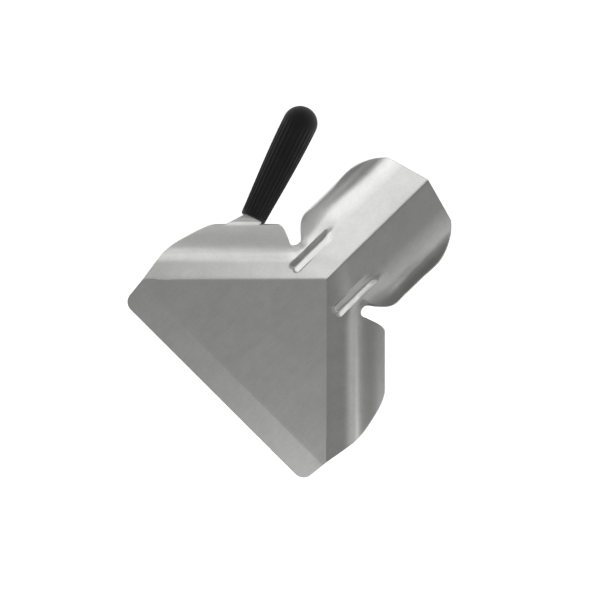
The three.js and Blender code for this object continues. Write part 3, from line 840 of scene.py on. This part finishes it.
def grip_inside(angles):
    """Rings from the slot's end to the mouth's lip."""
    mouth = [rounded_box(a, SOCKET_HALF, SOCKET_CORNER) for a in angles]
    slot_half = (TANG_ROOT_HALF + SLOT_GAP, SHEET / 2 + SLOT_GAP)
    slot = [rounded_box(a, slot_half, SLOT_CORNER) for a in angles]
    outlines = [
        (slot, (1, 1), TANG_LENGTH + SLOT_GAP),
        (slot, (1, 1), SOCKET_DEPTH),
        (mouth, SOCKET_FLOOR, SOCKET_DEPTH),
        (mouth, (1, 1), SOCKET_DEPTH - SOCKET_FLOOR_ROUND),
        (mouth, (1, 1), MOUTH_LIP_DEPTH),
        (mouth, MOUTH_LIP, 0.0),
    ]
    return [[(x * wide, y * high, z) for x, y in outline] for outline, (wide, high), z in outlines]


def screw_heights():
    """Heights of the grip's skin at the screw, and of the plane that the screw's head bears on."""
    skin = -GRIP_FLAT * (grip_radius(SCREW_AT) - FLUTE_DEPTH)
    return skin, skin + SCREW_SINK + SCREW_HEAD_HEIGHT


SKIN_Y, HEAD_TOP = screw_heights()


def grip():
    angles = [2 * math.pi * i / GRIP_SIDES for i in range(GRIP_SIDES)]
    rings = grip_inside(angles) + grip_outside(angles)
    points = [p for ring in rings for p in ring]
    faces = []
    following = [(i + 1) % GRIP_SIDES for i in range(GRIP_SIDES)]
    for low in range(0, len(points) - GRIP_SIDES, GRIP_SIDES):
        high = low + GRIP_SIDES
        for i, j in enumerate(following):
            faces.append([low + i, low + j, high + j, high + i])
    last = len(points) - GRIP_SIDES
    points.append((0, 0, TANG_LENGTH + SLOT_GAP))
    points.append((0, 0, GRIP_LENGTH))
    for i, j in enumerate(following):
        faces.append([len(points) - 2, j, i])
        faces.append([len(points) - 1, last + i, last + j])
    body = make_object("grip_body", from_grip(points), faces, [BLACK], sharp=50)
    cut_screw_hole(body)
    return body


def cut_screw_hole(body):
    flare = SCREW_HEAD_RADIUS + HOLE_FLARE
    wide = SCREW_HEAD_RADIUS + SLOT_GAP
    narrow = SCREW_RADIUS + SLOT_GAP
    profile = [
        (0, SKIN_Y - HOLE_START),
        (flare, SKIN_Y - HOLE_START),
        (flare, SKIN_Y + HOLE_FLARE_Y[0]),
        (wide, SKIN_Y + HOLE_FLARE_Y[1]),
        (wide, HEAD_TOP + SLOT_GAP),
        (narrow, HEAD_TOP + SLOT_GAP),
        (narrow, SCREW_TIP + HOLE_PAST_TIP),
        (0, SCREW_TIP + HOLE_PAST_TIP),
    ]
    cutter = lathe("grip_cutter", profile, HOLE_SIDES, [BLACK])
    modifier = body.modifiers.new("screw_hole", "BOOLEAN")
    modifier.operation = "DIFFERENCE"
    modifier.solver = "EXACT"
    modifier.object = cutter
    apply_modifiers(body)
    bpy.data.objects.remove(cutter)
    body.data.shade_smooth()
    body.data.set_sharp_from_angle(angle=math.radians(42))


def lathe(name, profile, sides, materials, sharp=40):
    """Turns (radius, height) pairs round the screw's axis, in the grip's frame."""
    points = []
    faces = []
    rings = []
    for radius, y in profile:
        if radius == 0:
            rings.append([len(points)])
            points.append((0, y, SCREW_AT))
            continue
        rings.append(list(range(len(points), len(points) + sides)))
        for i in range(sides):
            a = 2 * math.pi * i / sides
            points.append((radius * math.cos(a), y, SCREW_AT - radius * math.sin(a)))
    for low, high in zip(rings, rings[1:]):
        for i in range(sides):
            j = (i + 1) % sides
            face = [low[i % len(low)], low[j % len(low)], high[j % len(high)], high[i % len(high)]]
            faces.append([v for k, v in enumerate(face) if v != face[k - 1]])
    return make_object(name, from_grip(points), faces, materials, sharp=sharp)


def apply_modifiers(obj):
    bpy.context.view_layer.update()
    evaluated = obj.evaluated_get(bpy.context.evaluated_depsgraph_get())
    mesh = bpy.data.meshes.new_from_object(evaluated)
    obj.modifiers.clear()
    old = obj.data
    obj.data = mesh
    bpy.data.meshes.remove(old)


def grip_screw():
    """A round head with a recess, and a shank whose thread is a row of grooves."""
    bottom = HEAD_TOP - SCREW_HEAD_HEIGHT
    profile = [
        (0, bottom + RECESS_DEPTH),
        (RECESS_RADIUS * RECESS_CORNER[0], bottom + RECESS_DEPTH),
        (RECESS_RADIUS, bottom + RECESS_CORNER[1]),
        (RECESS_RADIUS, bottom + RECESS_RIM),
        (RECESS_RADIUS + RECESS_RIM, bottom),
    ]
    for i in range(HEAD_STEPS + 1):
        a = math.pi / 2 * i / HEAD_STEPS
        radius = SCREW_HEAD_RADIUS - HEAD_ROUND + HEAD_ROUND * math.sin(a)
        profile.append((radius, bottom + HEAD_ROUND - HEAD_ROUND * math.cos(a)))
    profile.append((SCREW_HEAD_RADIUS, HEAD_TOP - HEAD_EDGE))
    profile.append((SCREW_HEAD_RADIUS - HEAD_EDGE, HEAD_TOP))
    profile.append((SCREW_RADIUS, HEAD_TOP))
    y = HEAD_TOP + THREAD_PITCH
    while y < SCREW_TIP - THREAD_TO_TIP:
        profile.append((SCREW_RADIUS, y))
        profile.append((SCREW_RADIUS - THREAD_DEPTH, y + THREAD_FLANK))
        profile.append((SCREW_RADIUS, y + 2 * THREAD_FLANK))
        y += THREAD_PITCH
    profile.append((SCREW_RADIUS - SCREW_TIP_TAPER, SCREW_TIP))
    profile.append((0, SCREW_TIP))
    return lathe("screw", profile, SCREW_SIDES, [SCREW_STEEL], sharp=35)


sheet = scoop_sheet()
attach(sheet, "root")
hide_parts("scoop_sheet")

handle = grip()
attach(handle, "root")
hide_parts("grip")

screw = grip_screw()
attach(screw, "root")
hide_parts("grip_screw")


# ---- floor, camera and light --------------------------------------------------------------------
TABLE_HALF = 3.0  # metres
TABLE_CLEARANCE = 0.3  # millimetres


def stage_floor():
    """A pale table that the scoop stands on with its leading edge and the heel at the apex."""
    drop = math.tan(LIP_DROP) * (LIP_FOLD_Y - LEAD_Y) + TABLE_CLEARANCE
    slope = drop / -LEAD_Y
    points = []
    for x, y in ((-1, -1), (1, -1), (1, 1), (-1, 1)):
        z = (y * TABLE_HALF - APEX_Y * MM) * slope - TABLE_CLEARANCE * MM
        points.append((x * TABLE_HALF, y * TABLE_HALF, z))
    mesh = bpy.data.meshes.new("table")
    mesh.from_pydata(points, [], [[0, 1, 2, 3]])
    n = MaterialNodes("table_white")
    grain = n.noise(60, 3, 0.5)
    n.link(n.colour(grain, (0.84, 0.84, 0.84), (0.88, 0.88, 0.88)), n.shader.inputs["Base Color"])
    n.shader.inputs["Roughness"].default_value = 0.85
    n.shader.inputs["Emission Color"].default_value = (1, 1, 1, 1)
    n.shader.inputs["Emission Strength"].default_value = 0.8
    mesh.materials.append(n.material)
    obj = bpy.data.objects.new("table", mesh)
    bpy.context.scene.collection.objects.link(obj)
    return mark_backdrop(obj)


stage_floor()

SENSOR = 36.0
VIEW_WIDTH = 0.468  # metres across the picture at the floor panel
VIEW_DISTANCE = 6.0
VIEW_TILT = math.radians(2.2)  # the camera leans towards -X
VIEW_CENTRE = Vector((-0.003, 0.0334, 0.0))

camera_data = bpy.data.cameras.new("camera")
camera_data.sensor_width = SENSOR
camera_data.lens = SENSOR * VIEW_DISTANCE / VIEW_WIDTH
camera_data.clip_start = 0.1
camera_data.clip_end = 50.0
camera = bpy.data.objects.new("camera", camera_data)
bpy.context.scene.collection.objects.link(camera)
toward = Vector((math.sin(VIEW_TILT), 0, -math.cos(VIEW_TILT)))
screen_up = Vector((-1, 1, 0)).normalized()
right = toward.cross(screen_up).normalized()
up = right.cross(toward)
camera.matrix_world = Matrix((right, up, -toward)).transposed().to_4x4()
camera.location = VIEW_CENTRE - toward * VIEW_DISTANCE
bpy.context.scene.camera = camera


# strength of the sky against the sine of the elevation, away from the bright side and towards it
DIM_SIDE = [
    (0.0, 0.4), (0.2, 0.85), (0.36, 0.85), (0.46, 0.66), (0.58, 0.48), (0.66, 0.25), (0.85, 0.36),
    (1.0, 0.43),
]
BRIGHT_SIDE = [
    (0.0, 0.5), (0.2, 2.5), (0.36, 2.3), (0.46, 1.0), (0.58, 0.5), (0.66, 0.42), (0.85, 0.38),
    (1.0, 0.43),
]
BRIGHT_TURN = math.radians(-8)  # the bright side's direction, from +X
TURN = [(0.0, 0.0), (0.6, 0.0), (0.84, 0.2), (0.955, 0.75), (1.0, 1.0)]  # from the dim to the bright side


def studio():
    """A sky that is brightest low down on the bright side, dim above that and overhead."""
    world = bpy.data.worlds.new("studio")
    bpy.context.scene.world = world
    n = Nodes(world, "ShaderNodeOutputWorld")
    background = n.add("ShaderNodeBackground")
    n.link(background.outputs[0], n.out.inputs[0])
    height = n.dot((0, 0, 1))
    across = n.dot((math.cos(BRIGHT_TURN), math.sin(BRIGHT_TURN), 0))
    dim = n.along(height, DIM_SIDE)
    bright = n.along(height, BRIGHT_SIDE)
    share = n.along(n.math("ADD", n.math("MULTIPLY", across, 0.5), 0.5), TURN)
    difference = n.math("SUBTRACT", bright, dim)
    total = n.math("ADD", dim, n.math("MULTIPLY", difference, share))
    n.link(total, background.inputs["Strength"])


studio()


def softbox(name, low, high, height, radiance):
    """A horizontal lamp panel over the part of the table between low and high."""
    data = bpy.data.lights.new(name, "AREA")
    data.shape = "RECTANGLE"
    data.size = high[0] - low[0]
    data.size_y = high[1] - low[1]
    data.energy = radiance * math.pi * data.size * data.size_y
    lamp = bpy.data.objects.new(name, data)
    lamp.visible_camera = False
    lamp.location = ((low[0] + high[0]) / 2, (low[1] + high[1]) / 2, height)
    bpy.context.scene.collection.objects.link(lamp)
    return lamp


softbox("side_softbox", (0.26, -0.5), (0.36, 0.05), 0.35, 1.35)
softbox("rear_softbox", (0.36, -0.3), (0.66, 0.02), 0.35, 1.15)
softbox("top_softbox", (0.11, -0.36), (0.36, -0.06), 0.75, 0.45)
softbox("front_softbox", (0.1, -0.75), (0.35, -0.28), 0.75, 0.75)

bpy.context.scene.view_settings.view_transform = "Standard"
